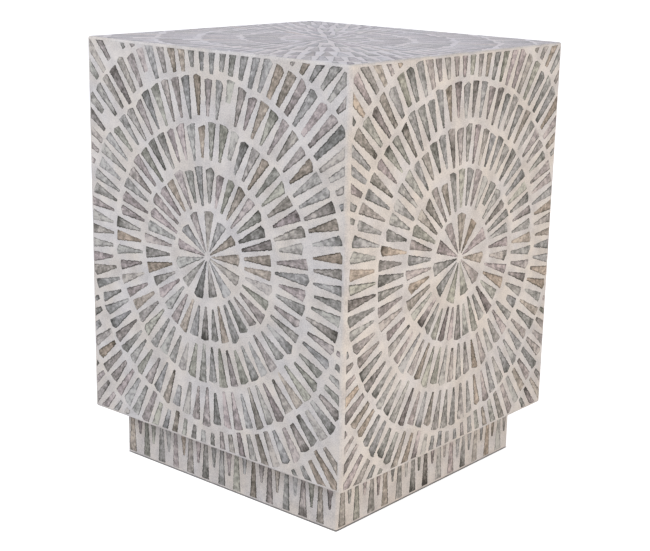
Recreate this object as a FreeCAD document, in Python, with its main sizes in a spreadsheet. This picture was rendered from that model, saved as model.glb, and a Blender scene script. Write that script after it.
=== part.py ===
"""Square box stool, inlaid with wedge-shaped slips of shell, on a set-back plinth.

The origin lies on the floor under the middle of the stool. +Z is up and the front
faces -Y. Lengths are millimetres.
"""
import FreeCAD, Part
import Sketcher

import math
import os
import random

# Driving sizes: name, value and what it measures
SIZES = (
    ("body_width", 350, "inlaid box, left to right over the resin"),
    ("body_depth", 350, "inlaid box, front to back over the resin"),
    ("body_height", 400, "inlaid box, from its lower edge to the seat"),
    ("upright_edge_radius", 4, "rounding of the four upright edges"),
    ("level_edge_radius", 2.5, "rounding of the edges round the seat and the underside"),
    ("inlay_thickness", 2.5, "layer of resin and shell on every face"),
    ("panel_thickness", 12, "side boards"),
    ("top_thickness", 15, "board under the seat"),
    ("bottom_thickness", 15, "board that closes the box below"),
    ("corner_block_side", 24, "upright glue blocks in the corners"),
    ("corner_block_chamfer", 8, "flat along a glue block's free edge"),
    ("cleat_side", 20, "battens along the bottom board"),
    ("cleat_screw_margin", 60, "from a cleat's end to its screw"),
    ("dowel_diameter", 6, "dowels between top and side boards"),
    ("dowel_depth", 16, "dowel in a side board"),
    ("dowel_cover", 6, "top board left over a dowel hole"),
    ("dowel_clearance", 0.1, "hole over dowel, on the diameter"),
    ("dowel_end_gap", 0.5, "glue space over a dowel"),
    ("dowel_margin", 60, "from a side board's end to its first dowel"),
    ("dowels_per_side", 3, "count along each side board"),
    ("screw_diameter", 4, "shank of the wood screws"),
    ("screw_head", 8, "countersunk head"),
    ("screw_point", 5, "tapered end of a screw"),
    ("screw_clearance", 0.3, "hole over shank, on the diameter"),
    ("screw_cover", 5, "bottom board left over a screw"),
    ("recess_width", 0.9, "arms of the cross recess"),
    ("recess_span", 4.6, "cross recess, tip to tip"),
    ("recess_depth", 1.4, "cross recess"),
    ("plinth_setback", 24.5, "from the face of the box in to the face of the plinth"),
    ("plinth_height", 53, "plinth without its felt"),
    ("plinth_edge_radius", 3, "rounding of the plinth's upright edges"),
    ("plinth_thickness", 12, "plinth boards"),
    ("plinth_block_side", 32, "blocks in the plinth's corners"),
    ("plinth_block_chamfer", 10, "flat along a plinth block's free edge"),
    ("plinth_block_height", 30, "blocks in the plinth's corners"),
    ("felt_thickness", 1.5, "strips that the stool stands on"),
    ("felt_width", 8, "strips that the stool stands on"),
    ("ring_pitch", 43.8, "from one ring of slips to the next"),
    ("ring_gap", 4.8, "resin between the slips of a ring and the narrow ends beyond them"),
    ("hub_radius", 3.6, "bare resin in the middle of a rosette"),
    ("slip_pitch", 15.3, "from slip to slip along a ring's outer edge"),
    ("slip_gap", 2.8, "resin between the wide ends of two slips"),
    ("slip_tip", 3, "narrow end of a slip"),
    ("corner_tip", 5.4, "narrow end of a slip in the rings that only the corners hold"),
    ("corner_gap", 3.8, "resin inside the narrow ends of those rings"),
    ("corner_wander", 5, "how far the outer edge of those rings swings in and out"),
    ("end_play", 6, "how uneven the ends of the slips lie"),
    ("shoulder_drop", 4.2, "how slanted or pointed the wide ends are"),
    ("centre_play", 3, "how far a rosette lies from the middle of its face"),
    ("edge_land", 0.3, "resin between a rounded edge and the nearest slip"),
    ("least_slip", 4, "side of the smallest square of shell worth setting"),
    ("band_pitch", 23.2, "from one tall plinth slip to the next"),
    ("band_gap", 3.2, "resin between two plinth slips"),
    ("band_tip", 4.2, "narrow end of a tall plinth slip"),
    ("band_foot", 1.2, "resin under the tall plinth slips"),
    ("band_drop", 28, "length of the shortest hanging plinth slip"),
    ("band_play", 11, "how uneven the free ends of the plinth slips lie"),
)

# Counts and shares of the hand-laid pattern
HUB_SLIPS = {"front": 13, "right": 11, "back": 12, "left": 12, "top": 12}
PATTERN_SEEDS = {"front": 41, "right": 52, "back": 63, "left": 74, "top": 85}
BAND_SEED = 96
HUB_FILL = 0.62
WIDTH_PLAY = 0.2
GAP_PLAY = (0.6, 1.6)
HUB_PLAY = (1, 1.8)
SIDEWAYS_PLAY = 0.2
CROWN_PLAY = 0.5
CORNER_SWINGS = 3
LEAN_PLAY = math.radians(1.5)
TIP_ROOM = 0.7
STUB_SHARE = 0.025
STUB_START = (0.25, 0.45)
BAND_PLAY = 0.22
# Largest rounding, in inlay thicknesses, that leaves resin over the boards' sharp corners
MOST_ROUNDING = 3
# Largest rounding of the level edges, as a share of the upright ones that they run round
LEVEL_SHARE = 0.9

SIDES = ("front", "right", "back", "left")
CORNERS = ("front_right", "back_right", "back_left", "front_left")

doc = FreeCAD.newDocument("inlaid_stool")
sheet = doc.addObject("Spreadsheet::Sheet", "Sizes")
for row, (alias, value, note) in enumerate(SIZES, start=1):
    sheet.set(f"A{row}", alias)
    sheet.set(f"B{row}", str(value))
    sheet.set(f"C{row}", note)
    sheet.setAlias(f"B{row}", alias)
doc.recompute()

# Sizes that follow from the driving ones, as expressions
BODY_BOTTOM = "(Sizes.felt_thickness + Sizes.plinth_height)"
BODY_TOP = f"({BODY_BOTTOM} + Sizes.body_height)"
CORE_WIDTH = "(Sizes.body_width - 2 * Sizes.inlay_thickness)"
CORE_DEPTH = "(Sizes.body_depth - 2 * Sizes.inlay_thickness)"
INNER_WIDTH = f"({CORE_WIDTH} - 2 * Sizes.panel_thickness)"
INNER_DEPTH = f"({CORE_DEPTH} - 2 * Sizes.panel_thickness)"
TOP_UNDERSIDE = f"({BODY_TOP} - Sizes.inlay_thickness - Sizes.top_thickness)"
FLOOR_LEVEL = f"({BODY_BOTTOM} + Sizes.bottom_thickness)"
PLINTH_WIDTH = "(Sizes.body_width - 2 * Sizes.plinth_setback)"
PLINTH_DEPTH = "(Sizes.body_depth - 2 * Sizes.plinth_setback)"
PLINTH_CORE_WIDTH = f"({PLINTH_WIDTH} - 2 * Sizes.inlay_thickness)"
PLINTH_CORE_DEPTH = f"({PLINTH_DEPTH} - 2 * Sizes.inlay_thickness)"
PLINTH_INNER_WIDTH = f"({PLINTH_CORE_WIDTH} - 2 * Sizes.plinth_thickness)"
PLINTH_INNER_DEPTH = f"({PLINTH_CORE_DEPTH} - 2 * Sizes.plinth_thickness)"
FELT_INSET = "(Sizes.plinth_thickness - Sizes.felt_width)"
FELT_RING_WIDTH = f"({PLINTH_CORE_WIDTH} - {FELT_INSET})"
FELT_RING_DEPTH = f"({PLINTH_CORE_DEPTH} - {FELT_INSET})"
BLOCK_LEVEL = f"({BODY_BOTTOM} - Sizes.plinth_block_height)"
DOWEL_RISE = "(Sizes.top_thickness - Sizes.dowel_cover)"
DOWEL_LENGTH = f"(Sizes.dowel_depth + {DOWEL_RISE} - Sizes.dowel_end_gap)"
SCREW_BITE = "(Sizes.bottom_thickness - Sizes.screw_cover)"
UPRIGHT_RADIUS = f"min(Sizes.upright_edge_radius; {MOST_ROUNDING} * Sizes.inlay_thickness)"
LEVEL_RADIUS = f"min(Sizes.level_edge_radius; {LEVEL_SHARE} * {UPRIGHT_RADIUS})"
PLINTH_RADIUS = f"min(Sizes.plinth_edge_radius; {MOST_ROUNDING} * Sizes.inlay_thickness)"


def number(expression):
    """Value of an expression in the sheet's sizes."""
    return float(sheet.evalExpression(expression))


def half(expression):
    """Half of a length given as an expression."""
    return f"({expression}) / 2"


def along_across(quarter, width, depth):
    """A side's length, and its distance from the middle, as seen by that side."""
    if quarter % 2 == 0:
        return width, half(depth)
    return depth, half(width)


def quarter_turn(quarter):
    """Placement that carries a piece from the front round to another side."""
    return FreeCAD.Placement(FreeCAD.Vector(), FreeCAD.Rotation(FreeCAD.Vector(0, 0, 1), 90 * quarter))


def new_body(label):
    """Empty body under its piece's name."""
    return doc.addObject("PartDesign::Body", label)


def new_sketch(body, name, role, level):
    """Empty sketch on one of the body's own planes, raised by a level."""
    plane = next(item for item in body.Origin.OriginFeatures if item.Role == role)
    sketch = body.newObject("Sketcher::SketchObject", name)
    sketch.AttachmentSupport = [(plane, "")]
    sketch.MapMode = "FlatFace"
    sketch.setExpression("AttachmentOffset.Base.z", level)
    return sketch


def pin_point(sketch, geometry, vertex, name, x, y):
    """Ties a sketch point to two expressions, measured from the sketch's origin."""
    for kind, expression in (("DistanceX", x), ("DistanceY", y)):
        constraint = Sketcher.Constraint(kind, -1, 1, geometry, vertex, number(expression))
        index = sketch.addConstraint(constraint)
        label = f"{name}_{kind[-1].lower()}"
        sketch.renameConstraint(index, label)
        sketch.setExpression(f"Constraints.{label}", expression)


def outline(body, name, level, corners, role="XY_Plane"):
    """Closed sketch of straight lines through corners given as expressions."""
    sketch = new_sketch(body, name, role, level)
    points = [FreeCAD.Vector(number(x), number(y), 0) for x, y in corners]
    count = len(points)
    for index in range(count):
        sketch.addGeometry(Part.LineSegment(points[index], points[(index + 1) % count]), False)
    for index in range(count):
        sketch.addConstraint(Sketcher.Constraint("Coincident", index, 2, (index + 1) % count, 1))
    for index, (x, y) in enumerate(corners):
        pin_point(sketch, index, 1, f"corner{index}", x, y)
    return sketch


def circles(body, name, level, centres, diameter):
    """Sketch of equal circles about centres given as expressions."""
    sketch = new_sketch(body, name, "XY_Plane", level)
    upward = FreeCAD.Vector(0, 0, 1)
    for index, (x, y) in enumerate(centres):
        centre = FreeCAD.Vector(number(x), number(y), 0)
        circle = sketch.addGeometry(Part.Circle(centre, upward, number(diameter) / 2), False)
        pin_point(sketch, circle, 3, f"centre{index}", x, y)
        size = sketch.addConstraint(Sketcher.Constraint("Diameter", circle, number(diameter)))
        sketch.renameConstraint(size, f"size{index}")
        sketch.setExpression(f"Constraints.size{index}", diameter)
    return sketch


def pad(body, sketch, length):
    """Raises a sketch into a solid."""
    feature = body.newObject("PartDesign::Pad", "Pad")
    feature.Profile = sketch
    feature.setExpression("Length", length)
    doc.recompute()
    return feature


def must_cut(body, before):
    """Stops the build where a cut missed its board."""
    doc.recompute()
    if body.Shape.Volume >= before:
        raise RuntimeError(f"nothing was cut from {body.Label}")


def pocket(body, sketch, depth, upward=False):
    """Cuts a sketch into the board, downward unless told otherwise."""
    before = body.Shape.Volume
    feature = body.newObject("PartDesign::Pocket", "Pocket")
    feature.Profile = sketch
    feature.Reversed = upward
    feature.setExpression("Length", depth)
    must_cut(body, before)


def countersunk_holes(body, level, centres, upward=False):
    """Screw holes right through a piece, countersunk at the level of the heads."""
    places = circles(body, "screw_places", level, centres, "Sizes.screw_diameter")
    doc.recompute()
    before = body.Shape.Volume
    hole = body.newObject("PartDesign::Hole", "Screw_holes")
    hole.Profile = places
    hole.Reversed = upward
    hole.DepthType = "ThroughAll"
    hole.setExpression("Diameter", "Sizes.screw_diameter + Sizes.screw_clearance")
    hole.HoleCutType = "Countersink"
    hole.HoleCutCustomValues = True
    hole.setExpression("HoleCutDiameter", "Sizes.screw_head")
    hole.HoleCutCountersinkAngle = 90
    must_cut(body, before)


def slab(label, width, depth, level, height):
    """Rectangular board about the middle of the stool."""
    body = new_body(label)
    x, y = half(width), half(depth)
    corners = [(f"-{x}", f"-{y}"), (x, f"-{y}"), (x, y), (f"-{x}", y)]
    pad(body, outline(body, "plan", level, corners), height)
    return body


def mitred_board(label, quarter, width, depth, thickness, level, height):
    """One of four boards round a rectangle, mitred at both ends."""
    length, reach = along_across(quarter, width, depth)
    body = new_body(label)
    corners = [
        (f"-{half(length)}", f"-{reach}"),
        (half(length), f"-{reach}"),
        (f"{half(length)} - {thickness}", f"{thickness} - {reach}"),
        (f"{thickness} - {half(length)}", f"{thickness} - {reach}"),
    ]
    pad(body, outline(body, "plan", level, corners), height)
    body.Placement = quarter_turn(quarter)
    return body


def corner_block(label, quarter, width, depth, side, chamfer, level, height):
    """Glue block in an inner corner, with its free edge taken off."""
    length, reach = along_across(quarter, width, depth)
    right = half(length)
    body = new_body(label)
    corners = [
        (right, f"-{reach}"),
        (right, f"{side} - {reach}"),
        (f"{right} - {side} + {chamfer}", f"{side} - {reach}"),
        (f"{right} - {side}", f"{side} - {chamfer} - {reach}"),
        (f"{right} - {side}", f"-{reach}"),
    ]
    pad(body, outline(body, "plan", level, corners), height)
    body.Placement = quarter_turn(quarter)
    return body


def group(label, source, places):
    """Equal pieces under one name, each a solid of its own."""
    copies = []
    for place in places:
        copy = source.Shape.copy()
        copy.Placement = place
        copies.append(copy)
    feature = doc.addObject("Part::Feature", label)
    feature.Shape = Part.makeCompound(copies)
    return feature


def upright_place(x, y, z, turned_over=False):
    """Placement of an upright fastener, with its point up if turned over."""
    tilt = FreeCAD.Rotation(FreeCAD.Vector(1, 0, 0), 180 if turned_over else 0)
    return FreeCAD.Placement(FreeCAD.Vector(x, y, z), tilt)


# Boards of the box

def dowel_centres(quarter):
    """Middles of the dowels along one side board's upper edge, as seen by that side."""
    length, reach = along_across(quarter, CORE_WIDTH, CORE_DEPTH)
    count = int(number("Sizes.dowels_per_side"))
    steps = [(2 * index + 1 - count) / max(1, count - 1) for index in range(count)]
    row = f"Sizes.panel_thickness / 2 - {reach}"
    return [(f"{step} * ({half(length)} - Sizes.dowel_margin)", row) for step in steps]


def turned(quarter, centre):
    """The same centre, as expressions in the stool's own axes."""
    x, y = centre
    return ((x, y), (f"-({y})", x), (f"-({x})", f"-({y})"), (y, f"-({x})"))[quarter]


def side_panel(quarter):
    """Side board, drilled in its upper edge for the dowels."""
    height = f"{TOP_UNDERSIDE} - {BODY_BOTTOM}"
    body = mitred_board(f"{SIDES[quarter]}_panel", quarter, CORE_WIDTH, CORE_DEPTH,
                        "Sizes.panel_thickness", BODY_BOTTOM, height)
    bore = "Sizes.dowel_diameter + Sizes.dowel_clearance"
    holes = circles(body, "dowel_places", TOP_UNDERSIDE, dowel_centres(quarter), bore)
    pocket(body, holes, "Sizes.dowel_depth")
    return body


def top_panel():
    """Board under the seat, drilled from below for the dowels."""
    body = slab("top_panel", CORE_WIDTH, CORE_DEPTH, TOP_UNDERSIDE, "Sizes.top_thickness")
    centres = [turned(quarter, centre) for quarter in range(4) for centre in dowel_centres(quarter)]
    bore = "Sizes.dowel_diameter + Sizes.dowel_clearance"
    holes = circles(body, "dowel_places", TOP_UNDERSIDE, centres, bore)
    pocket(body, holes, DOWEL_RISE, upward=True)
    return body


def top_dowels():
    """Dowels that tie the top board to the side boards."""
    dowel = doc.addObject("Part::Cylinder", "dowel")
    dowel.setExpression("Radius", "Sizes.dowel_diameter / 2")
    dowel.setExpression("Height", DOWEL_LENGTH)
    doc.recompute()
    foot = number(f"{TOP_UNDERSIDE} - Sizes.dowel_depth")
    places = []
    for quarter in range(4):
        for x, y in dowel_centres(quarter):
            places.append(quarter_turn(quarter) * upright_place(number(x), number(y), foot))
    return group("top_dowels", dowel, places)


def cleat_end(quarter):
    """Distance from a cleat's middle to its end, where it meets a corner block."""
    length = along_across(quarter, INNER_WIDTH, INNER_DEPTH)[0]
    return f"({half(length)} - Sizes.corner_block_side)"


def cleat_screw_centres(quarter):
    """Middles of a cleat's screws, as seen by that side."""
    reach = along_across(quarter, INNER_WIDTH, INNER_DEPTH)[1]
    row = f"Sizes.cleat_side / 2 - {reach}"
    return [(f"{sign} * ({cleat_end(quarter)} - Sizes.cleat_screw_margin)", row) for sign in (-1, 1)]


def plinth_screw_centre(quarter):
    """Middle of a plinth block's screw, as seen by that corner's side."""
    length, reach = along_across(quarter, PLINTH_INNER_WIDTH, PLINTH_INNER_DEPTH)
    return f"{half(length)} - Sizes.plinth_block_side / 2", f"Sizes.plinth_block_side / 2 - {reach}"


def bottom_panel():
    """Bottom board, let in between the sides, with pilot holes from above and below."""
    body = slab("bottom_panel", INNER_WIDTH, INNER_DEPTH, BODY_BOTTOM, "Sizes.bottom_thickness")
    from_above = [turned(quarter, centre) for quarter in range(4) for centre in cleat_screw_centres(quarter)]
    pilots = circles(body, "cleat_pilots", FLOOR_LEVEL, from_above, "Sizes.screw_diameter")
    pocket(body, pilots, SCREW_BITE)
    from_below = [turned(quarter, plinth_screw_centre(quarter)) for quarter in range(4)]
    pilots = circles(body, "plinth_pilots", BODY_BOTTOM, from_below, "Sizes.screw_diameter")
    pocket(body, pilots, SCREW_BITE, upward=True)
    return body


def cleat(quarter):
    """Batten in the angle of a side board and the bottom board, between the corner blocks."""
    reach = along_across(quarter, INNER_WIDTH, INNER_DEPTH)[1]
    end = cleat_end(quarter)
    back = f"Sizes.cleat_side - {reach}"
    body = new_body(f"cleat_{SIDES[quarter]}")
    corners = [(f"-{end}", f"-{reach}"), (end, f"-{reach}"), (end, back), (f"-{end}", back)]
    pad(body, outline(body, "plan", FLOOR_LEVEL, corners), "Sizes.cleat_side")
    countersunk_holes(body, f"{FLOOR_LEVEL} + Sizes.cleat_side", cleat_screw_centres(quarter))
    body.Placement = quarter_turn(quarter)
    return body


# Screws

def wood_screw(name, length):
    """Countersunk screw that points down, with the top of its head at the origin."""
    body = new_body(name)
    head, shank = "Sizes.screw_head / 2", "Sizes.screw_diameter / 2"
    corners = [
        ("0", "0"),
        (head, "0"),
        (shank, f"{shank} - {head}"),
        (shank, f"Sizes.screw_point - ({length})"),
        ("0", f"-({length})"),
    ]
    profile = outline(body, "profile", "0", corners, role="XZ_Plane")
    turning = body.newObject("PartDesign::Revolution", "Turning")
    turning.Profile = profile
    turning.ReferenceAxis = (profile, ["V_Axis"])
    turning.Angle = 360
    doc.recompute()
    arm, flank = "Sizes.recess_span / 2", "Sizes.recess_width / 2"
    for x, y in ((arm, flank), (flank, arm)):
        slot = outline(body, "recess", "0", [(f"-{x}", f"-{y}"), (x, f"-{y}"), (x, y), (f"-{x}", y)])
        pocket(body, slot, "Sizes.recess_depth")
    return body


def cleat_screws():
    """Screws down through the cleats into the bottom board."""
    screw = wood_screw("cleat_screw", f"Sizes.cleat_side + {SCREW_BITE}")
    level = number(f"{FLOOR_LEVEL} + Sizes.cleat_side")
    places = []
    for quarter in range(4):
        for x, y in cleat_screw_centres(quarter):
            places.append(quarter_turn(quarter) * upright_place(number(x), number(y), level))
    return group("cleat_screws", screw, places)


def plinth_screws():
    """Screws up through the plinth blocks into the bottom board."""
    screw = wood_screw("plinth_screw", f"Sizes.plinth_block_height + {SCREW_BITE}")
    level = number(BLOCK_LEVEL)
    places = []
    for quarter in range(4):
        x, y = plinth_screw_centre(quarter)
        upside_down = upright_place(number(x), number(y), level, turned_over=True)
        places.append(quarter_turn(quarter) * upside_down)
    return group("plinth_screws", screw, places)


# Plinth

def plinth_block(quarter):
    """Block in a corner of the plinth, screwed up into the bottom board."""
    body = corner_block(f"plinth_block_{CORNERS[quarter]}", quarter, PLINTH_INNER_WIDTH,
                        PLINTH_INNER_DEPTH, "Sizes.plinth_block_side", "Sizes.plinth_block_chamfer",
                        BLOCK_LEVEL, "Sizes.plinth_block_height")
    countersunk_holes(body, BLOCK_LEVEL, [plinth_screw_centre(quarter)], upward=True)
    return body


# Inlay: the rounded outer forms, the mitred sheets and the pattern of slips

def edges_where(shape, wanted):
    """Names of a shape's edges that answer a question about their two ends."""
    names = []
    for index, edge in enumerate(shape.Edges, start=1):
        ends = [vertex.Point for vertex in edge.Vertexes]
        if len(ends) == 2 and wanted(ends[0], ends[1]):
            names.append(f"Edge{index}")
    return names


def round_edges(body, base, wanted, radius):
    """Rounds the edges of a body's last feature that answer a question."""
    feature = body.newObject("PartDesign::Fillet", "Rounding")
    feature.Base = (base, edges_where(base.Shape, wanted))
    feature.setExpression("Radius", radius)
    doc.recompute()
    return feature


def is_upright(first, second):
    """An edge that runs straight up."""
    return math.hypot(first.x - second.x, first.y - second.y) < Part.Precision.confusion()


def is_level(first, second):
    """An edge round the top or the underside."""
    return abs(first.z - second.z) < Part.Precision.confusion()


def box_form():
    """Outside of the inlaid box, with every edge rounded."""
    body = slab("box_form", "Sizes.body_width", "Sizes.body_depth", BODY_BOTTOM, "Sizes.body_height")
    uprights = round_edges(body, body.Tip, is_upright, UPRIGHT_RADIUS)
    round_edges(body, uprights, is_level, LEVEL_RADIUS)
    return body


def plinth_form():
    """Outside of the plinth, with its upright edges rounded."""
    body = slab("plinth_form", PLINTH_WIDTH, PLINTH_DEPTH, "Sizes.felt_thickness", "Sizes.plinth_height")
    round_edges(body, body.Tip, is_upright, PLINTH_RADIUS)
    return body


def sheet_blank(name, form, span, rise, mitres, place):
    """Plain inlay sheet: the outer form's skin within mitred ends.

    It lies across x and z, with its outer face at y = 0. The mitres tell whether the
    lower and the upper edge are mitred; the two ends always are.
    """
    lower, upper = mitres
    space = doc.addObject("Part::Wedge", f"{name}_space")
    inlay = "Sizes.inlay_thickness"
    limits = {
        "Ymin": "0",
        "Ymax": inlay,
        "Xmin": f"-{half(span)}",
        "Xmax": half(span),
        "Zmin": f"-{half(rise)}",
        "Zmax": half(rise),
        "X2min": f"{inlay} - {half(span)}",
        "X2max": f"{half(span)} - {inlay}",
        "Z2min": f"{lower} * {inlay} - {half(rise)}",
        "Z2max": f"{half(rise)} - {upper} * {inlay}",
    }
    for limit, expression in limits.items():
        space.setExpression(limit, expression)
    space.Placement = place
    blank = doc.addObject("Part::Common", f"{name}_blank")
    blank.Base = form
    blank.Tool = space
    return blank


def clip(points, axis, limit, keep_below):
    """Part of a convex outline on one side of a line across u (axis 0) or v (axis 1)."""
    sign = 1 if keep_below else -1
    kept = []
    for first, second in zip(points, points[1:] + points[:1]):
        room_first = sign * (limit - first[axis])
        room_second = sign * (limit - second[axis])
        if room_first >= 0:
            kept.append(first)
        if room_first * room_second < 0:
            share = room_first / (room_first - room_second)
            kept.append(tuple(a + share * (b - a) for a, b in zip(first, second)))
    return kept


def clip_to_field(points, field):
    """Part of a slip's outline inside the field, without needlessly short edges."""
    low_u, high_u, low_v, high_v = field
    limits = ((0, high_u, True), (0, low_u, False), (1, high_v, True), (1, low_v, False))
    for axis, limit, keep_below in limits:
        points = clip(points, axis, limit, keep_below)
    shortest = number("Sizes.slip_gap") / 4
    steps = zip(points, points[1:] + points[:1])
    return [point for point, after in steps if math.dist(point, after) > shortest]


def area(points):
    """Area of a closed outline."""
    crosses = (a[0] * b[1] - b[0] * a[1] for a, b in zip(points, points[1:] + points[:1]))
    return abs(sum(crosses)) / 2


def slip_outline(rng, start, end, tip, wide):
    """Uneven wedge of shell along +u, from its narrow end to a slanted or pointed wide end."""
    drop = number("Sizes.shoulder_drop")
    half_wide = wide / 2 * rng.uniform(1 - WIDTH_PLAY, 1)
    half_tip = tip / 2 * rng.uniform(1 - WIDTH_PLAY, 1 + WIDTH_PLAY)
    if rng.random() < STUB_SHARE:
        cut = rng.uniform(*STUB_START)
        start += cut * (end - start)
        half_tip += cut * (half_wide - half_tip)
    left, right = (end - drop * rng.random() ** 2 for _ in range(2))
    crown = half_wide * rng.uniform(-CROWN_PLAY, CROWN_PLAY)
    return [(start, -half_tip), (right, -half_wide), (end, crown), (left, half_wide), (start, half_tip)]


def spun(points, centre, angle):
    """Points turned about a centre."""
    cos, sin = math.cos(angle), math.sin(angle)
    shifts = [(u - centre[0], v - centre[1]) for u, v in points]
    return [(centre[0] + u * cos - v * sin, centre[1] + u * sin + v * cos) for u, v in shifts]


def ring_plan(face, ring, in_corners):
    """Outer radius of a ring, its count of slips and their narrow and wide width."""
    ring_pitch, slip_pitch = number("Sizes.ring_pitch"), number("Sizes.slip_pitch")
    outer = (ring + 1) * ring_pitch
    if ring:
        count = round(2 * math.pi * outer / slip_pitch)
        tip = number("Sizes.corner_tip" if in_corners else "Sizes.slip_tip")
        return outer, count, tip, slip_pitch - number("Sizes.slip_gap")
    count = HUB_SLIPS[face]
    tip = TIP_ROOM * 2 * math.pi * number("Sizes.hub_radius") / count
    return outer, count, tip, HUB_FILL * 2 * math.pi * outer / count


def free_radius(ends, angle):
    """How far out the slips of a ring reach near an angle, from the angle and end of each."""
    pitch = 2 * math.pi / len(ends)
    return max(end for place, end in ends if abs(math.remainder(place - angle, 2 * math.pi)) < pitch)


def rosette(face, field):
    """Outlines of a face's slips: rings of wedges about the middle, cut off at the field's edge."""
    rng = random.Random(PATTERN_SEEDS[face])
    play, gap = number("Sizes.centre_play"), number("Sizes.slip_gap")
    middle = [rng.uniform(-play, play) for _ in range(2)]
    reach = math.hypot(max(field[1], -field[0]), max(field[3], -field[2])) + play
    least = number("Sizes.least_slip") ** 2
    end_play = number("Sizes.end_play")
    outlines, ends = [], []
    ring_pitch = number("Sizes.ring_pitch")
    for ring in range(math.ceil(reach / ring_pitch)):
        in_corners = ring * ring_pitch > min(field[1], field[3])
        outer, count, tip, wide = ring_plan(face, ring, in_corners)
        ring_gap = number("Sizes.corner_gap" if in_corners else "Sizes.ring_gap")
        wander = number("Sizes.corner_wander") if in_corners else 0
        phase = rng.random()
        inside, ends = ends, []
        for index in range(count):
            sideways = rng.uniform(-SIDEWAYS_PLAY, SIDEWAYS_PLAY) * gap / outer
            angle = 2 * math.pi * (index + phase) / count + sideways
            end = outer + rng.uniform(-end_play, end_play) / 2
            end += wander * math.sin(CORNER_SWINGS * angle + 2 * math.pi * phase)
            ends.append((angle, end))
            # The slips round the hub meet in its middle, too close together to lean
            start, lean = number("Sizes.hub_radius") * rng.uniform(*HUB_PLAY), 0
            if inside:
                start = free_radius(inside, angle) + ring_gap * rng.uniform(*GAP_PLAY)
                lean = rng.uniform(-LEAN_PLAY, LEAN_PLAY)
            wedge = spun(slip_outline(rng, start, end, tip, wide), ((start + end) / 2, 0), lean)
            laid = spun(wedge, (0, 0), angle)
            laid = clip_to_field([(middle[0] + u, middle[1] + v) for u, v in laid], field)
            if len(laid) > 2 and area(laid) > least:
                outlines.append(laid)
    return outlines


def plinth_band(rng, field):
    """Outlines of a plinth side's slips: tall wedges, with short ones hanging between them."""
    low_u, high_u, low_v, high_v = field
    count = max(1, round((high_u - low_u) / number("Sizes.band_pitch")))
    pitch = (high_u - low_u) / count
    gap, tall_tip, tip = number("Sizes.band_gap"), number("Sizes.band_tip"), number("Sizes.slip_tip")
    wide = pitch - tall_tip - 2 * gap
    foot, play = low_v + number("Sizes.band_foot"), number("Sizes.band_play")
    outlines = []
    for index in range(2 * count):
        middle = low_u + (index + 0.5) * pitch / 2 + rng.uniform(-BAND_PLAY, BAND_PLAY) * gap
        half_wide = wide / 2 * rng.uniform(1 - BAND_PLAY, 1)
        lean = rng.uniform(-BAND_PLAY, BAND_PLAY) * gap
        if index % 2 == 0:
            base, end, half_tip = foot, high_v - play * rng.random() ** 2, tall_tip / 2
        else:
            base, end, half_tip = high_v, high_v - number("Sizes.band_drop") - play * rng.random(), tip / 2
        points = [
            (middle - half_wide, base),
            (middle + half_wide, base),
            (middle + lean + half_tip, end),
            (middle + lean - half_tip, end),
        ]
        # All outlines run the same way round
        outlines.append(clip_to_field(points if end > base else points[::-1], field))
    return outlines


def rims(outlines, depth):
    """Closed wires of slips' outlines at a depth behind the face."""
    wires = []
    for points in outlines:
        corners = [FreeCAD.Vector(u, depth, v) for u, v in points]
        wires.append(Part.makePolygon(corners + corners[:1]))
    return wires


def holed(face, windows):
    """A flat face with holes, whose rims have to run against the face's outer edge."""
    plate = Part.Face([face.OuterWire] + windows)
    if plate.Area > face.Area:
        plate = Part.Face([face.OuterWire] + [rim.reversed() for rim in windows])
    return plate


def windowed(blank, outlines, thickness):
    """A sheet with a window through it for every slip.

    Its two broad faces get the windows' rims, and walls join them through the sheet.
    """
    outer, inner = sorted(sorted(blank.Faces, key=lambda face: face.Area)[-2:],
                          key=lambda face: face.CenterOfMass.y)
    edges = [face for face in blank.Faces if not (face.isSame(outer) or face.isSame(inner))]
    broad = [holed(outer, rims(outlines, 0)), holed(inner, rims(outlines, thickness))]
    through = FreeCAD.Vector(0, thickness, 0)
    walls = [wall for rim in rims(outlines, 0) for wall in rim.extrude(through).Faces]
    skin = Part.makeCompound(broad + edges + walls)
    skin.sewShape()
    return Part.Solid(skin)


def inlay(resin_label, shell_label, blank, outlines, place):
    """Resin sheet with a window for every slip, and the slips that fill the windows."""
    thickness = number("Sizes.inlay_thickness")
    doc.recompute()
    plain = blank.Shape.copy()
    plain.Placement = place.inverse() * plain.Placement
    resin = doc.addObject("Part::Feature", resin_label)
    resin.Shape = windowed(plain, outlines, thickness)
    resin.Placement = place
    through = FreeCAD.Vector(0, thickness, 0)
    slips = [Part.Face(rim).extrude(through) for rim in rims(outlines, 0)]
    shell = doc.addObject("Part::Feature", shell_label)
    shell.Shape = Part.makeCompound(slips)
    shell.Placement = place
    return [resin, shell]


def side_place(quarter, width, depth, level):
    """Placement of a sheet on one side, with its middle at a level."""
    reach = along_across(quarter, width, depth)[1]
    outward = FreeCAD.Placement(FreeCAD.Vector(0, -number(reach), number(level)), FreeCAD.Rotation())
    return quarter_turn(quarter) * outward


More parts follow.
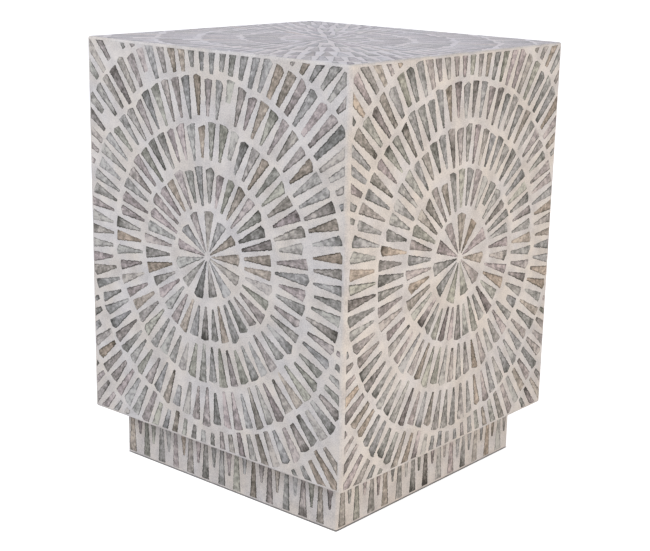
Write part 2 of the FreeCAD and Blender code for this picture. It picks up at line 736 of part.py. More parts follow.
def box_inlays():
    """Inlays of the seat and of the four sides of the box."""
    form = box_form()
    land, upright, level = number("Sizes.edge_land"), number(UPRIGHT_RADIUS), number(LEVEL_RADIUS)
    middle_level = f"{BODY_BOTTOM} + Sizes.body_height / 2"
    pieces = []
    for quarter, side in enumerate(SIDES):
        span = along_across(quarter, "Sizes.body_width", "Sizes.body_depth")[0]
        place = side_place(quarter, "Sizes.body_width", "Sizes.body_depth", middle_level)
        blank = sheet_blank(side, form, span, "Sizes.body_height", (0, 1), place)
        edge_u = number(span) / 2 - upright - land
        edge_v = number("Sizes.body_height") / 2 - level - land
        outlines = rosette(side, (-edge_u, edge_u, -edge_v, edge_v))
        pieces += inlay(f"{side}_resin", f"{side}_shell", blank, outlines, place)
    upward = FreeCAD.Rotation(FreeCAD.Vector(1, 0, 0), -90)
    place = FreeCAD.Placement(FreeCAD.Vector(0, 0, number(BODY_TOP)), upward)
    blank = sheet_blank("top", form, "Sizes.body_width", "Sizes.body_depth", (1, 1), place)
    # The seat's flat has rounded corners, which the slips stay clear of
    inset = level + land + (upright - level) * (1 - math.sqrt(0.5))
    edge_u = number("Sizes.body_width") / 2 - inset
    edge_v = number("Sizes.body_depth") / 2 - inset
    outlines = rosette("top", (-edge_u, edge_u, -edge_v, edge_v))
    return pieces + inlay("top_resin", "top_shell", blank, outlines, place)


def plinth_inlays():
    """Inlays of the four sides of the plinth."""
    form = plinth_form()
    rng = random.Random(BAND_SEED)
    land = number("Sizes.edge_land")
    middle_level = "Sizes.felt_thickness + Sizes.plinth_height / 2"
    pieces = []
    for quarter, side in enumerate(SIDES):
        span = along_across(quarter, PLINTH_WIDTH, PLINTH_DEPTH)[0]
        place = side_place(quarter, PLINTH_WIDTH, PLINTH_DEPTH, middle_level)
        blank = sheet_blank(f"plinth_{side}", form, span, "Sizes.plinth_height", (0, 0), place)
        edge_u = number(span) / 2 - number(PLINTH_RADIUS) - land
        edge_v = number("Sizes.plinth_height") / 2 - land
        outlines = plinth_band(rng, (-edge_u, edge_u, -edge_v, edge_v))
        pieces += inlay(f"plinth_resin_{side}", f"plinth_shell_{side}", blank, outlines, place)
    return pieces


def build():
    """All pieces of the stool."""
    pieces = [top_panel(), bottom_panel(), top_dowels(), cleat_screws(), plinth_screws()]
    for quarter, side in enumerate(SIDES):
        pieces.append(side_panel(quarter))
        pieces.append(corner_block(f"corner_block_{CORNERS[quarter]}", quarter, INNER_WIDTH, INNER_DEPTH,
                                   "Sizes.corner_block_side", "Sizes.corner_block_chamfer",
                                   FLOOR_LEVEL, f"{TOP_UNDERSIDE} - {FLOOR_LEVEL}"))
        pieces.append(cleat(quarter))
        pieces.append(mitred_board(f"plinth_{side}", quarter, PLINTH_CORE_WIDTH, PLINTH_CORE_DEPTH,
                                   "Sizes.plinth_thickness", "Sizes.felt_thickness", "Sizes.plinth_height"))
        pieces.append(plinth_block(quarter))
        pieces.append(mitred_board(f"felt_{side}", quarter, FELT_RING_WIDTH, FELT_RING_DEPTH,
                                   "Sizes.felt_width", "0", "Sizes.felt_thickness"))
    pieces += box_inlays()
    pieces += plinth_inlays()
    doc.recompute()
    return pieces


def check(pieces):
    """Stops the build where an object failed or a piece is not a sound solid."""
    for item in doc.Objects:
        if "Invalid" in item.State or "Error" in item.State:
            raise RuntimeError(f"{item.Label} failed: {item.State}")
    for piece in pieces:
        if piece.Shape.isNull() or not piece.Shape.isValid():
            raise RuntimeError(f"{piece.Label} has no valid shape")


def write(pieces):
    """One file for each piece, under the piece's name."""
    os.makedirs("parts", exist_ok=True)
    for piece in pieces:
        piece.Shape.exportStep(f"parts/{piece.Label}.step")
        print(piece.Label, len(piece.Shape.Solids), "solids")


stool = build()
check(stool)
write(stool)
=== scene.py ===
"""Looks of the inlaid box stool: slips of shell in polished resin, over the boards of the frame.

Lengths are metres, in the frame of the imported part: the origin lies on the floor under
the middle of the stool, +Z is up and the front faces -Y.
"""

import math
import random

import bmesh
import bpy
import numpy as np
from mathutils import Matrix, Vector


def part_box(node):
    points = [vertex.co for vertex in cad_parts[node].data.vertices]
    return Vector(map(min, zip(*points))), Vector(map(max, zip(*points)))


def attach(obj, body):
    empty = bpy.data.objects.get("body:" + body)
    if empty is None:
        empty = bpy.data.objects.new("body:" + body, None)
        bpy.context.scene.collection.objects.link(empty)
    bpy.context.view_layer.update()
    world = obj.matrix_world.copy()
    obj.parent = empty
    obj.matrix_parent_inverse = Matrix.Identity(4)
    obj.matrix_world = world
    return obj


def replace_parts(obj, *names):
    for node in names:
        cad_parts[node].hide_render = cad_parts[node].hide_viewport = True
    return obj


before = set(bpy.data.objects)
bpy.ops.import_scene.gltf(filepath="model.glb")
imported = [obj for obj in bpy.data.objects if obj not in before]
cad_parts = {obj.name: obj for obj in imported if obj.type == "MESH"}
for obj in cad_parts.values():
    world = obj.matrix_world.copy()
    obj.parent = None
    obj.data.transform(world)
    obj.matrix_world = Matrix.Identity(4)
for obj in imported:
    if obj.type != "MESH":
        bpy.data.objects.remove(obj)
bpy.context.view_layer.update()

MM = 0.001
SIDES = ("front", "right", "back", "left")
CORNERS = ("front_right", "back_right", "back_left", "front_left")
# Each face's own axes: along its level edge, up or towards the back, and outward
FACE_AXES = {
    "front": ((1, 0, 0), (0, 0, 1), (0, -1, 0)),
    "right": ((0, 1, 0), (0, 0, 1), (1, 0, 0)),
    "back": ((-1, 0, 0), (0, 0, 1), (0, 1, 0)),
    "left": ((0, -1, 0), (0, 0, 1), (-1, 0, 0)),
    "top": ((1, 0, 0), (0, 1, 0), (0, 0, 1)),
}

# Resin skins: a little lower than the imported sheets, and rounded as they are
RESIN_SINK = 0.14 * MM
UPRIGHT_RADIUS = 4 * MM
LEVEL_RADIUS = 2.5 * MM
PLINTH_RADIUS = 3 * MM
INNER_RADIUS = 0.1 * MM
# From a rounding to the points beside it, which keep the flat part flat
SUPPORT = 0.3 * MM
ARC_STEPS = 8
SHARP_ANGLE = math.radians(30)

# Digits after the point, in metres, to which corners are one and slips are put in order
CORNER_DIGITS = 6
ORDER_DIGITS = 4

# Shape of the slips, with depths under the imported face
SLIP_SEED = 17
SLIP_SINK = 0.02 * MM
SLIP_BEVEL = 0.05 * MM
SLIP_DEPTH = 0.7 * MM
# Stations are the places along a slip that get vertices, closer together near its ends
STATION_STEP = 1.0 * MM
END_CROWDING = 0.6
LEAST_STATIONS = 5
END_INSET = 0.05 * MM
LEAST_WIDTH = 0.5 * MM
# A rim is no wider than a share of the slip
RIM_WIDTH = 1.5 * MM
MOST_RIM = 1 / 3
# How far a ragged edge lies inside its outline, where it is not notched
RAGGED = (-0.3 * MM, 0.5 * MM)
NOTCH = 0.9 * MM
NOTCH_SHARE = 0.1
CORNER_ROUNDING = 0.5 * MM
CORNER_REACH = 0.9 * MM
# Vertices across a slip's upper side
COLUMNS = 5
# Shares of a slip's length where its two widths are taken
WIDTH_PLACES = (0.2, 0.8)

# Shades of the slips, from 0 for the darkest to 1 for the palest
TONE_MEAN = 0.7
TONE_SPREAD = 0.12
TONE_SLOPE = 0.12
SIDE_SLOPE = 0.05
# Shares of the slips with a faded tip, a dark crown and a dark tip, each over a share of the length
FADED_TIPS = 0.14
FADED_LENGTH = 0.5
FADED_CURVE = 1.5
FADED_LIFT = (0.25, 0.6)
DARK_CROWNS = 0.35
CROWN_LENGTH = 0.3
CROWN_DROP = (0.1, 0.5)
DARK_TIPS = 0.3
TIP_LENGTH = 0.25
TIP_DROP = (0.15, 0.5)
LEAST_RIM = 0.2
DARK_RIM = 0.85
# How far the patterns in the shell swing its shade
FINE_SWING = 0.5
BLOTCH_SWING = 1.25
STREAK_SWING = 0.7
# How much slower the streaks change along a slip than across it
STREAK_GRAIN = 0.25

# Camera, solved from the stool's outline in a picture of this width, with angles in degrees
IMAGE_WIDTH = 650
FOCAL_PIXELS = 1366.3
CAMERA_PLACE = (0.9252, -1.0899, 0.5810)
CAMERA_YAW = 40.248
CAMERA_PITCH = 14.882
CAMERA_ROLL = 1.189

# Light
WORLD_LIGHT = (0.48, 0.505, 0.55, 1.0)
BACKGROUND = (1.0, 1.0, 1.0, 1.0)
FLOOR_REACH = 30.0
FLOOR_GLOW = 0.85
LAMP_TARGET = (0, 0, 0.25)
# Each lamp's place, size, power and colour
LAMPS = {
    "left_lamp": ((-1.4, -2.1, 1.9), 2.6, 55.5, (1.0, 0.992, 0.995)),
    "right_lamp": ((1.4, -0.2, 0.18), 1.0, 13.1, (1.0, 0.88, 0.735)),
    "back_lamp": ((0.1, 2.0, 0.1), 0.7, 15, (1.0, 0.99, 0.98)),
}


# Colours and nodes

# Sockets of a mix node that carry colours
COLOUR_FIRST = 6
COLOUR_SECOND = 7
COLOUR_RESULT = 2


def srgb(red, green, blue):
    """Linear colour of one written from 0 to 255, by the curve of the sRGB standard."""
    shares = [value / 255 for value in (red, green, blue)]
    linear = [s / 12.92 if s <= 0.04045 else ((s + 0.055) / 1.055) ** 2.4 for s in shares]
    return (*linear, 1.0)


def new_material(name):
    """Material with a principled shader, and that shader."""
    material = bpy.data.materials.new(name)
    material.use_nodes = True
    return material, material.node_tree.nodes["Principled BSDF"]


def put(material, socket, value):
    """Gives an input a value, or links another node's output to it."""
    if isinstance(value, bpy.types.NodeSocket):
        material.node_tree.links.new(value, socket)
    else:
        socket.default_value = value


def stretched(material, places, stretch):
    """Places multiplied along each axis."""
    mapping = material.node_tree.nodes.new("ShaderNodeMapping")
    put(material, mapping.inputs["Vector"], places)
    mapping.inputs["Scale"].default_value = stretch
    return mapping.outputs["Vector"]


def coordinates(material):
    """Places in the stool's axes."""
    return material.node_tree.nodes.new("ShaderNodeTexCoord").outputs["Object"]


def attribute(material, name, output="Fac"):
    """Value that the mesh keeps for each vertex."""
    node = material.node_tree.nodes.new("ShaderNodeAttribute")
    node.attribute_name = name
    return node.outputs[output]


def noise(material, places, scale, detail):
    """Cloudy pattern from 0 to 1."""
    node = material.node_tree.nodes.new("ShaderNodeTexNoise")
    put(material, node.inputs["Vector"], places)
    node.inputs["Scale"].default_value = scale
    node.inputs["Detail"].default_value = detail
    return node.outputs["Fac"]


def combine(material, operation, first, second):
    """Sum, product or other combination of two values."""
    node = material.node_tree.nodes.new("ShaderNodeMath")
    node.operation = operation
    put(material, node.inputs[0], first)
    put(material, node.inputs[1], second)
    return node.outputs["Value"]


def swing(material, pattern, amount):
    """A pattern from 0 to 1 turned into one about zero."""
    centred = combine(material, "SUBTRACT", pattern, 0.5)
    return combine(material, "MULTIPLY", centred, amount)


def ramp(material, value, stops):
    """Colour for a value, between stops of (value, colour)."""
    node = material.node_tree.nodes.new("ShaderNodeValToRGB")
    put(material, node.inputs["Fac"], value)
    elements = node.color_ramp.elements
    for _ in range(len(stops) - 2):
        elements.new(0.5)
    for element, (place, colour) in zip(elements, stops):
        element.position = place
        element.color = colour
    return node.outputs["Color"]


def mix(material, mode, share, first, second):
    """Mix of two colours."""
    node = material.node_tree.nodes.new("ShaderNodeMix")
    node.data_type = "RGBA"
    node.blend_type = mode
    put(material, node.inputs["Factor"], share)
    put(material, node.inputs[COLOUR_FIRST], first)
    put(material, node.inputs[COLOUR_SECOND], second)
    return node.outputs[COLOUR_RESULT]


def bump(material, height, distance):
    """Fine relief from a pattern."""
    node = material.node_tree.nodes.new("ShaderNodeBump")
    put(material, node.inputs["Height"], height)
    node.inputs["Distance"].default_value = distance
    node.inputs["Strength"].default_value = 1.0
    return node.outputs["Normal"]


# Materials

# Wax polish: little gloss, and a lilac bloom where the surface is looked along
POLISH = {
    "Roughness": 0.6,
    "Specular IOR Level": 0.08,
    "Sheen Weight": 1.0,
    "Sheen Roughness": 0.2,
    "Sheen Tint": (0.92, 0.89, 1.0, 1.0),
}
COOL_RESIN = (0.985, 1.0, 1.02, 1)
WARM_RESIN = (1.0, 0.98, 0.94, 1)
PINE = [(0.3, srgb(186, 142, 92)), (0.5, srgb(208, 168, 118)), (0.7, srgb(222, 188, 140))]
BEECH = [(0.3, srgb(176, 128, 88)), (0.7, srgb(204, 160, 118))]
# How much slower the pattern of timber changes along the grain than across it
PINE_GRAIN = 0.06
BEECH_GRAIN = 0.08


def polish(shader):
    """Gives a shader the finish of the wax polish."""
    for socket, value in POLISH.items():
        shader.inputs[socket].default_value = value


def resin_material():
    """Pale cast resin, a little cloudy, ground flat and polished."""
    material, shader = new_material("resin")
    places = coordinates(material)
    clouds = noise(material, places, scale=60, detail=3)
    specks = noise(material, places, scale=800, detail=3)
    value = combine(material, "ADD", clouds, swing(material, specks, amount=1.2))
    stops = [(0.2, srgb(191, 186, 185)), (0.5, srgb(210, 205, 203)), (0.8, srgb(225, 219, 215))]
    broad_clouds = noise(material, places, scale=26, detail=2)
    patches = ramp(material, broad_clouds, [(0.35, COOL_RESIN), (0.65, WARM_RESIN)])
    colour = mix(material, "MULTIPLY", 1.0, ramp(material, value, stops), patches)
    put(material, shader.inputs["Base Color"], colour)
    polish(shader)
    return material


def shell_material():
    """Grey shell: streaked and mottled, dark along its chipped rims, in faint tints."""
    material, shader = new_material("shell")
    grain = attribute(material, "grain", "Vector")
    fine = noise(material, grain, scale=650, detail=3)
    blotches = noise(material, grain, scale=200, detail=2)
    streaks = noise(material, stretched(material, grain, (STREAK_GRAIN, 1, 1)), scale=700, detail=2)
    # The noise is about 0.5 on average, so a full rim is darkened by DARK_RIM in the mean
    rim_clouds = noise(material, grain, scale=350, detail=2)
    patchy = combine(material, "MULTIPLY", rim_clouds, 2 * DARK_RIM)
    rim = combine(material, "MULTIPLY", attribute(material, "rim"), patchy)
    value = combine(material, "SUBTRACT", attribute(material, "tone"), rim)
    for pattern, amount in ((fine, FINE_SWING), (blotches, BLOTCH_SWING), (streaks, STREAK_SWING)):
        value = combine(material, "ADD", value, swing(material, pattern, amount))
    greys = [
        (0.0, srgb(71, 69, 66)),
        (0.25, srgb(104, 101, 97)),
        (0.5, srgb(135, 132, 129)),
        (0.75, srgb(164, 159, 157)),
        (1.0, srgb(198, 193, 189)),
    ]
    tints = [
        (0.0, (0.96, 1.0, 0.9, 1)),
        (0.2, (0.95, 0.99, 1.03, 1)),
        (0.45, (0.98, 1.0, 0.98, 1)),
        (0.65, (1.05, 0.97, 1.01, 1)),
        (0.85, (1.01, 1.0, 0.96, 1)),
        (1.0, (1.12, 0.99, 0.85, 1)),
    ]
    tint = ramp(material, attribute(material, "tint"), tints)
    colour = mix(material, "MULTIPLY", 1.0, ramp(material, value, greys), tint)
    put(material, shader.inputs["Base Color"], colour)
    polish(shader)
    return material


def board_material():
    """Fibreboard: fine brown fibres with paler and darker flecks."""
    material, shader = new_material("fibreboard")
    places = coordinates(material)
    fibres = noise(material, places, scale=700, detail=4)
    clouds = noise(material, places, scale=18, detail=2)
    value = combine(material, "ADD", fibres, swing(material, clouds, amount=0.4))
    stops = [(0.3, srgb(136, 108, 78)), (0.5, srgb(162, 132, 98)), (0.7, srgb(184, 156, 120))]
    put(material, shader.inputs["Base Color"], ramp(material, value, stops))
    put(material, shader.inputs["Normal"], bump(material, fibres, distance=0.15 * MM))
    shader.inputs["Roughness"].default_value = 0.8
    return material


def timber_material(name, stretch, stops):
    """Straight-grained timber with its grain along the axis that is stretched least."""
    material, shader = new_material(name)
    places = stretched(material, coordinates(material), stretch)
    bands = noise(material, places, scale=90, detail=3)
    pores = noise(material, places, scale=700, detail=2)
    value = combine(material, "ADD", bands, swing(material, pores, amount=0.3))
    put(material, shader.inputs["Base Color"], ramp(material, value, stops))
    put(material, shader.inputs["Normal"], bump(material, pores, distance=0.1 * MM))
    shader.inputs["Roughness"].default_value = 0.6
    return material


def screw_material():
    """Zinc-plated steel, a little uneven."""
    material, shader = new_material("plated_steel")
    clouds = noise(material, coordinates(material), scale=500, detail=2)
    stops = [(0.3, srgb(176, 176, 172)), (0.7, srgb(206, 206, 202))]
    put(material, shader.inputs["Base Color"], ramp(material, clouds, stops))
    shader.inputs["Metallic"].default_value = 1.0
    shader.inputs["Roughness"].default_value = 0.35
    return material


def felt_material():
    """Dark felt with matted fibres."""
    material, shader = new_material("felt")
    fibres = noise(material, coordinates(material), scale=1500, detail=4)
    stops = [(0.3, srgb(34, 33, 32)), (0.7, srgb(66, 64, 62))]
    put(material, shader.inputs["Base Color"], ramp(material, fibres, stops))
    put(material, shader.inputs["Normal"], bump(material, fibres, distance=0.4 * MM))
    shader.inputs["Roughness"].default_value = 0.95
    return material


def dress_frame():
    """Materials of the boards, blocks, dowels, screws and felt, which show as they were packed."""
    board = board_material()
    upright_pine = timber_material("upright_pine", (1, 1, PINE_GRAIN), PINE)
    dress = {"top_panel": board, "bottom_panel": board}
    dress["top_dowels"] = timber_material("beech", (1, 1, BEECH_GRAIN), BEECH)
    screw, felt = screw_material(), felt_material()
    dress["cleat_screws"] = dress["plinth_screws"] = screw
    pine_along = {
        "front": timber_material("pine_along_x", (PINE_GRAIN, 1, 1), PINE),
        "right": timber_material("pine_along_y", (1, PINE_GRAIN, 1), PINE),
    }
    pine_along |= {"back": pine_along["front"], "left": pine_along["right"]}
    for side in SIDES:
        dress[f"{side}_panel"] = dress[f"plinth_{side}"] = board
        dress[f"cleat_{side}"] = pine_along[side]
        dress[f"felt_{side}"] = felt
    for corner in CORNERS:
        dress[f"corner_block_{corner}"] = dress[f"plinth_block_{corner}"] = upright_pine
    for name, material in dress.items():
        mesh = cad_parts[name].data
        mesh.materials.clear()
        mesh.materials.append(material)


# Resin skins

def new_piece(name, vertices, faces, material):
    """Mesh piece of the stool, with its faces turned outward."""
    mesh = bpy.data.meshes.new(name)
    mesh.from_pydata(vertices, [], faces)
    work = bmesh.new()
    work.from_mesh(mesh)
    bmesh.ops.recalc_face_normals(work, faces=work.faces)
    work.to_mesh(mesh)
    work.free()
    mesh.materials.append(material)
    piece = bpy.data.objects.new(name, mesh)
    bpy.context.scene.collection.objects.link(piece)
    return piece


def ring(half_x, half_y, radius, level):
    """Rounded rectangle, with a support point beside both ends of each arc."""
    points = []
    for quarter, (sign_x, sign_y) in enumerate(((1, 1), (-1, 1), (-1, -1), (1, -1))):
        centre = Vector((sign_x * (half_x - radius), sign_y * (half_y - radius), level))
        turn = math.pi / 2 * quarter
        spokes = [turn + math.pi / 2 * step / ARC_STEPS for step in range(ARC_STEPS + 1)]
        arc = [centre + radius * Vector((math.cos(spoke), math.sin(spoke), 0)) for spoke in spokes]
        before = Vector((math.sin(turn), -math.cos(turn), 0))
        after = Vector((-math.cos(turn), -math.sin(turn), 0))
        points += [arc[0] + SUPPORT * before, *arc, arc[-1] + SUPPORT * after]
    return points


def skin(name, rows, capped, material):
    """Closed piece through rings: its ends are capped, or else its last ring meets the first."""
    size, count = len(rows[0]), len(rows)
    vertices = [point for row in rows for point in row]
    faces = []
    for low in range(count - 1 if capped else count):
        high = (low + 1) % count
        for index in range(size):
            after = (index + 1) % size
            faces.append((low * size + index, low * size + after, high * size + after, high * size + index))
    if capped:
        faces.append(tuple(range(size)))
        faces.append(tuple(range((count - 1) * size, count * size)))
    piece = new_piece(name, vertices, faces, material)
    piece.data.shade_smooth()
    piece.data.set_sharp_from_angle(angle=SHARP_ANGLE)
    return piece


def common_box(nodes):
    """Lowest and highest corner of several nodes of the frame."""
    boxes = [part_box(node) for node in nodes]
    low = Vector([min(box[0][axis] for box in boxes) for axis in range(3)])
    high = Vector([max(box[1][axis] for box in boxes) for axis in range(3)])
    return low, high


def sheet_thickness():
    """Thickness of the inlay, from the seat's slips."""
    low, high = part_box("top_shell")
    return high.z - low.z


def body_resin(material):
    """Resin over the seat and the four sides of the box, in one rounded skin."""
    nodes = ["top_resin"] + [f"{side}_resin" for side in SIDES]
    low, high = common_box(nodes)
    thickness = sheet_thickness()
    radius = LEVEL_RADIUS - 2 * RESIN_SINK
    top = high.z - RESIN_SINK

    def outer(inset, level):
        return ring(high.x - inset, high.y - inset, UPRIGHT_RADIUS - inset, level)

    def inner(level):
        return ring(high.x - thickness, high.y - thickness, INNER_RADIUS, level)

    spokes = [math.pi / 2 * step / ARC_STEPS for step in range(ARC_STEPS + 1)]
    bends = [(RESIN_SINK + radius * (1 - math.sin(s)), radius * (1 - math.cos(s))) for s in spokes]
    rows = [inner(high.z - thickness), inner(low.z)]
    rows += [outer(inset, low.z + rise) for inset, rise in bends]
    rows += [outer(RESIN_SINK, level) for level in (low.z + radius + SUPPORT, top - radius - SUPPORT)]
    rows += [outer(inset, top - rise) for inset, rise in bends[::-1]]
    rows.append(outer(RESIN_SINK + radius + SUPPORT, top))
    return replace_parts(skin("body_resin", rows, True, material), *nodes)


def plinth_resin(material):
    """Resin round the plinth, in one skin."""
    nodes = [f"plinth_resin_{side}" for side in SIDES]
    low, high = common_box(nodes)
    thickness = sheet_thickness()
    sunk_x, sunk_y = high.x - RESIN_SINK, high.y - RESIN_SINK
    rows = [ring(sunk_x, sunk_y, PLINTH_RADIUS - RESIN_SINK, level) for level in (low.z, high.z)]
    rows += [ring(high.x - thickness, high.y - thickness, INNER_RADIUS, level) for level in (high.z, low.z)]
    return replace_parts(skin("plinth_resin", rows, False, material), *nodes)


# Slips of shell

def corner_groups(triangles, keys):
    """Corners of the triangles, put together where triangles share one."""
    leader = {key: key for key in keys}

    def lead(key):
        while leader[key] != key:
            key = leader[key]
        return key

    for first, second, third in triangles:
        leader[lead(keys[second])] = lead(keys[first])
        leader[lead(keys[third])] = lead(keys[first])
    groups = {}
    for corner in {keys[corner] for triangle in triangles for corner in triangle}:
        groups.setdefault(lead(corner), []).append(corner)
    return list(groups.values())


def slip_outlines(node, axes):
    """Outlines of a node's slips in its face's axes, in a steady order, and the face's level."""
    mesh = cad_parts[node].data
    mesh.calc_loop_triangles()
    places = np.array([vertex.co for vertex in mesh.vertices]) @ np.array(axes, float).T
    level = places[:, 2].max()
    shown = places[:, 2] > level - SLIP_SINK
    triangles = [tri.vertices[:] for tri in mesh.loop_triangles if all(shown[i] for i in tri.vertices)]
    keys = [tuple(point) for point in np.round(places[:, :2], CORNER_DIGITS)]
    outlines = []
    for corners in corner_groups(triangles, keys):
        points = np.array(corners)
        spokes = points - points.mean(0)
        outlines.append(points[np.argsort(np.arctan2(spokes[:, 1], spokes[:, 0]))])
    outlines.sort(key=lambda points: tuple(np.round(points.mean(0), ORDER_DIGITS)))
    return outlines, level


def crossings(points, place):
    """Least and greatest second coordinate of a convex outline where its first has a value."""
    found = []
    for first, second in zip(points, np.roll(points, -1, axis=0)):
        if (first[0] - place) * (second[0] - place) <= 0 and first[0] != second[0]:
            share = (place - first[0]) / (second[0] - first[0])
            found.append(first[1] + share * (second[1] - first[1]))
    return min(found), max(found)


def long_axis(points, hub):
    """Direction from a slip's narrow end to its wide one: away from a hub, or else upright."""
    middle = points.mean(0)
    along = np.array((0.0, 1.0)) if hub is None else (middle - hub) / np.linalg.norm(middle - hub)
    turned = (points - middle) @ np.stack((along, (-along[1], along[0])), axis=1)
    start, end = turned[:, 0].min(), turned[:, 0].max()
    near, far = (crossings(turned, start + share * (end - start)) for share in WIDTH_PLACES)
    return along if near[1] - near[0] < far[1] - far[0] else -along


def ragged(rng):
    """How far a slip's edge falls short of its outline, or passes it."""
    return NOTCH * rng.random() if rng.random() < NOTCH_SHARE else rng.uniform(*RAGGED)


def stations(outline, rng):
    """Places along a slip with its two ragged edges: (along, low edge, high edge)."""
    start, end = outline[:, 0].min() + END_INSET, outline[:, 0].max() - END_INSET
    count = max(LEAST_STATIONS, round((end - start) / STATION_STEP))
    rows = []
    for index in range(count + 1):
        share = index / count
        share -= END_CROWDING * math.sin(2 * math.pi * share) / (2 * math.pi)
        place = start + share * (end - start)
        low, high = crossings(outline, place)
        to_end = min(place - start, end - place)
        rounding = CORNER_ROUNDING * max(0.0, 1 - to_end / CORNER_REACH) ** 2
        most = max(high - low - LEAST_WIDTH, 0.0) / 2
        low += min(ragged(rng) + rounding, most)
        high -= min(ragged(rng) + rounding, most)
        rows.append((place, low, high))
    return rows


def slip_points(rows, rng):
    """Vertices of a slip: (along, across, depth, darkness of the rim), the upper side first."""
    upper, under = [], []
    sides = [rng.uniform(LEAST_RIM, 1) for _ in range(2)]
    ends = {0: rng.random(), len(rows) - 1: rng.random()}
    for number, (place, low, high) in enumerate(rows):
        at_end = number in ends
        width = min(RIM_WIDTH, MOST_RIM * (high - low))
        for column, side in enumerate((low, low + width, (low + high) / 2, high - width, high)):
            at_side = column in (0, COLUMNS - 1)
            sink = SLIP_SINK + SLIP_BEVEL * (at_side or at_end)
            rim = sides[column > 1] if at_side else ends.get(number, 0.0)
            upper.append((place, side, sink, rim))
        under += [(place, low, SLIP_DEPTH, sides[0]), (place, high, SLIP_DEPTH, sides[1])]
    return np.array(upper + under, float)


def slip_faces(first, count):
    """Faces of one slip, from its first vertex on: its upper side, walls and underside."""
    faces = []
    under = first + count * COLUMNS
    for row in range(count - 1):
        here, after = first + row * COLUMNS, first + (row + 1) * COLUMNS
        below, below_after = under + 2 * row, under + 2 * (row + 1)
        for column in range(COLUMNS - 1):
            faces.append((here + column, after + column, after + column + 1, here + column + 1))
        faces.append((here, below, below_after, after))
        faces.append((here + COLUMNS - 1, after + COLUMNS - 1, below_after + 1, below + 1))
        faces.append((below, below + 1, below_after + 1, below_after))
    last, under_last = first + (count - 1) * COLUMNS, under + 2 * (count - 1)
    faces.append((*range(first, first + COLUMNS), under + 1, under))
    faces.append((*range(last + COLUMNS - 1, last - 1, -1), under_last, under_last + 1))
    return faces


def slip_tones(share, side, rng):
    """Shade of a slip at shares of its length and width, with faded or dark ends on some."""
    tones = rng.gauss(TONE_MEAN, TONE_SPREAD) + rng.gauss(0, TONE_SLOPE) * (2 * share - 1)
    tones += rng.gauss(0, SIDE_SLOPE) * (2 * side - 1)
    if rng.random() < FADED_TIPS:
        tones += rng.uniform(*FADED_LIFT) * np.clip(1 - share / FADED_LENGTH, 0, 1) ** FADED_CURVE
    if rng.random() < DARK_CROWNS:
        tones -= rng.uniform(*CROWN_DROP) * np.clip(1 - (1 - share) / CROWN_LENGTH, 0, 1)
    if rng.random() < DARK_TIPS:
        tones -= rng.uniform(*TIP_DROP) * np.clip(1 - share / TIP_LENGTH, 0, 1)
    return np.clip(tones, 0, 1)


def as_shares(values):
    """Values as shares of the way from the least to the greatest."""
    return (values - values.min()) / (values.max() - values.min())


def face_slips(node, face, radial, seed, material):
    """All slips of one face, in the place of its plain ones."""
    rng = random.Random(seed)
    axes = np.array(FACE_AXES[face], float)
    outlines, level = slip_outlines(node, axes)
    every = np.concatenate(outlines)
    hub = (every.min(0) + every.max(0)) / 2 if radial else None
    vertices, faces, tones, tints, rims, grains = [], [], [], [], [], []
    for outline in outlines:
        middle, along = outline.mean(0), long_axis(outline, hub)
        turn = np.stack((along, (-along[1], along[0])))
        rows = stations((outline - middle) @ turn.T, rng)
        points = slip_points(rows, rng)
        flat = points[:, :2] @ turn + middle
        faces += slip_faces(len(vertices), len(rows))
        vertices += list(np.column_stack((flat, level - points[:, 2])) @ axes)
        tones.append(slip_tones(as_shares(points[:, 0]), as_shares(points[:, 1]), rng))
        tints.append(np.full(len(points), rng.random()))
        rims.append(points[:, 3])
        grains.append(np.column_stack((points[:, :2], np.full(len(points), rng.random()))))
    piece = new_piece(node.replace("shell", "slips"), vertices, faces, material)
    for name, values in (("tone", tones), ("tint", tints), ("rim", rims)):
        kept = piece.data.attributes.new(name, "FLOAT", "POINT")
        kept.data.foreach_set("value", np.concatenate(values).astype(np.float32))
    kept = piece.data.attributes.new("grain", "FLOAT_VECTOR", "POINT")
    kept.data.foreach_set("vector", np.concatenate(grains).astype(np.float32).ravel())
    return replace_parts(piece, node)


def all_slips(material):
    """Slips of the seat, the sides and the plinth."""
    pieces = []
    for index, face in enumerate(FACE_AXES):
        pieces.append(face_slips(f"{face}_shell", face, True, SLIP_SEED + index, material))
    for index, side in enumerate(SIDES, start=len(FACE_AXES)):
        pieces.append(face_slips(f"plinth_shell_{side}", side, False, SLIP_SEED + index, material))
    return pieces


# Floor, light and camera

def background_share(material):
    """1 for rays that see the background straight, in gloss or through glass, else 0."""
    path = material.node_tree.nodes.new("ShaderNodeLightPath")
    seen = combine(material, "MAXIMUM", path.outputs["Is Camera Ray"], path.outputs["Is Glossy Ray"])
    return combine(material, "MAXIMUM", seen, path.outputs["Is Transmission Ray"])


def plinth_shade_mask(material):
    """1 on the floor round the plinth, 0 under it, where the glow is left out as painted shade."""
    _, high = common_box([f"plinth_resin_{side}" for side in SIDES])
    split = material.node_tree.nodes.new("ShaderNodeSeparateXYZ")
    put(material, split.inputs["Vector"], coordinates(material))
    away_x = combine(material, "DIVIDE", split.outputs["X"], high.x)
    away_y = combine(material, "DIVIDE", split.outputs["Y"], high.y)
    squares = [combine(material, "MULTIPLY", away, away) for away in (away_x, away_y)]
    return combine(material, "GREATER_THAN", combine(material, "MAXIMUM", *squares), 1.0)


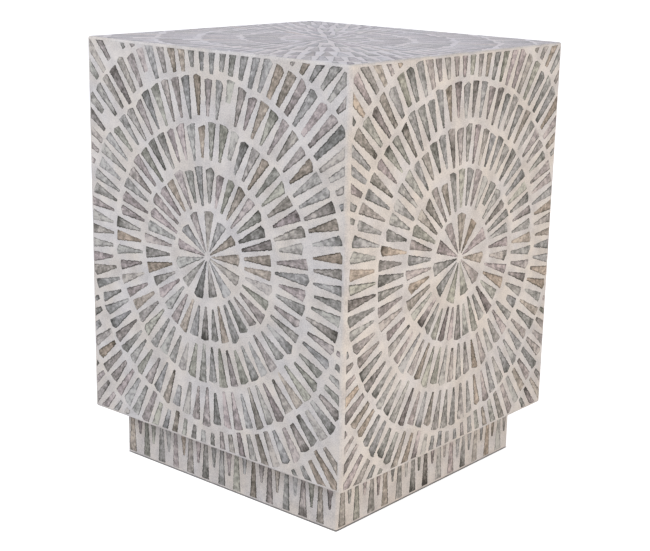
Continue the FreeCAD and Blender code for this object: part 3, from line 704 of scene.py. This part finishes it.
def floor():
    """White floor that takes the stool's shadow, with painted shade under the plinth, where its glow is
    left out.
    """
    reach = FLOOR_REACH
    mesh = bpy.data.meshes.new("floor")
    mesh.from_pydata([(-reach, -reach, 0), (reach, -reach, 0), (reach, reach, 0), (-reach, reach, 0)],
                     [], [(0, 1, 2, 3)])
    material, shader = new_material("floor")
    clouds = noise(material, coordinates(material), scale=3, detail=2)
    shades = ramp(material, clouds, [(0.3, srgb(190, 190, 191)), (0.7, srgb(194, 194, 195))])
    put(material, shader.inputs["Base Color"], shades)
    shader.inputs["Roughness"].default_value = 0.9
    shader.inputs["Emission Color"].default_value = BACKGROUND
    glow = combine(material, "MULTIPLY", background_share(material), FLOOR_GLOW)
    # Painted shade: no glow under the plinth, so the gap under it shows dark
    glow = combine(material, "MULTIPLY", glow, plinth_shade_mask(material))
    put(material, shader.inputs["Emission Strength"], glow)
    mesh.materials.append(material)
    piece = bpy.data.objects.new("floor", mesh)
    bpy.context.scene.collection.objects.link(piece)


def world_light():
    """Even light from all round, and a white background."""
    world = bpy.data.worlds.new("studio")
    bpy.context.scene.world = world
    world.use_nodes = True
    colour = mix(world, "MIX", background_share(world), WORLD_LIGHT, BACKGROUND)
    put(world, world.node_tree.nodes["Background"].inputs["Color"], colour)


def lamp(name, place, size, power, colour):
    """Soft area lamp that shines at the middle of the stool."""
    light = bpy.data.lights.new(name, "AREA")
    light.shape = "DISK"
    light.size = size
    light.energy = power
    light.color = colour
    piece = bpy.data.objects.new(name, light)
    piece.location = place
    piece.rotation_euler = (Vector(LAMP_TARGET) - Vector(place)).to_track_quat("-Z", "Y").to_euler()
    bpy.context.scene.collection.objects.link(piece)


def camera():
    """Camera that stood a little above the seat, off the corner between front and right."""
    yaw, pitch, roll = (math.radians(angle) for angle in (CAMERA_YAW, CAMERA_PITCH, CAMERA_ROLL))
    ahead = Vector((-math.sin(yaw) * math.cos(pitch), math.cos(yaw) * math.cos(pitch), -math.sin(pitch)))
    level_right = ahead.cross(Vector((0, 0, 1))).normalized()
    level_up = level_right.cross(ahead)
    right = math.cos(roll) * level_right + math.sin(roll) * level_up
    up = math.cos(roll) * level_up - math.sin(roll) * level_right
    lens = bpy.data.cameras.new("camera")
    lens.sensor_fit = "HORIZONTAL"
    lens.lens = FOCAL_PIXELS / IMAGE_WIDTH * lens.sensor_width
    piece = bpy.data.objects.new("camera", lens)
    turn = Matrix((right, up, -ahead)).transposed().to_4x4()
    piece.matrix_world = Matrix.Translation(CAMERA_PLACE) @ turn
    bpy.context.scene.collection.objects.link(piece)
    bpy.context.scene.camera = piece


# The stool and its stage

dress_frame()
resin, shell = resin_material(), shell_material()
for part in (body_resin(resin), plinth_resin(resin)):
    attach(part, "root")
for part in all_slips(shell):
    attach(part, "root")

floor()
world_light()
for name, settings in LAMPS.items():
    lamp(name, *settings)
camera()
bpy.context.scene.view_settings.view_transform = "Standard"

bpy.context.view_layer.update()
